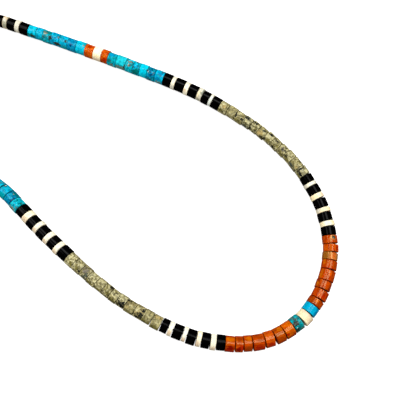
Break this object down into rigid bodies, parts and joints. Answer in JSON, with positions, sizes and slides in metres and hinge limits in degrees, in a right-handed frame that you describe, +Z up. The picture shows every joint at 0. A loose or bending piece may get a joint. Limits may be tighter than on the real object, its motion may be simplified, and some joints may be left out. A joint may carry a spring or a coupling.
{
  "type": "heishi bead necklace",
  "caption": "Lying loop of drum-shaped turquoise, orange shell, green stone, black and pale disc beads on a thread, closed by a plain barrel clasp.",
  "frame": {"origin": "middle of the bounding box in plan, on the surface that the necklace lies on", "axes": "+Z up, -Y towards the front middle beads, +Y towards the clasp, +X towards the wearer's left side"},
  "size_m": [0.0854, 0.1934, 0.0056],
  "materials": {
    "turquoise": "polished turquoise with brown matrix",
    "spiny_oyster": "polished orange shell",
    "jet": "polished black",
    "shell": "polished cream shell",
    "serpentine": "smooth green stone with tan and slate spots",
    "silver": "satin silver",
    "thread": "twisted nylon"
  },
  "bodies": {
    "root": {"centre_shell": "shell", "centre_turquoise_left": "turquoise", "centre_turquoise_right": "turquoise", "clasp": "silver", "left_discs_back": "shell", "left_discs_front": "shell", "left_discs_middle": "shell", "left_green_back": "serpentine", "left_green_front": "serpentine", "left_jet_back": "jet", "left_jet_front": "jet", "left_jet_middle": "jet", "left_orange_1": "spiny_oyster", "left_orange_2": "spiny_oyster", "left_orange_3": "spiny_oyster", "left_orange_4": "spiny_oyster", "left_orange_5": "spiny_oyster", "left_orange_6": "spiny_oyster", "left_orange_7": "spiny_oyster", "left_orange_8": "spiny_oyster", "left_orange_accent_a": "spiny_oyster", "left_orange_accent_b": "spiny_oyster", "left_shell_accent": "shell", "left_turquoise_back": "turquoise", "left_turquoise_front": "turquoise", "right_discs_back": "shell", "right_discs_front": "shell", "right_discs_middle": "shell", "right_green_back": "serpentine", "right_green_front": "serpentine", "right_jet_back": "jet", "right_jet_front": "jet", "right_jet_middle": "jet", "right_orange_1": "spiny_oyster", "right_orange_2": "spiny_oyster", "right_orange_3": "spiny_oyster", "right_orange_4": "spiny_oyster", "right_orange_5": "spiny_oyster", "right_orange_6": "spiny_oyster", "right_orange_7": "spiny_oyster", "right_orange_accent_a": "spiny_oyster", "right_orange_accent_b": "spiny_oyster", "right_shell_accent": "shell", "right_turquoise_back": "turquoise", "right_turquoise_front": "turquoise", "thread": "thread"}
  },
  "joints": []
}
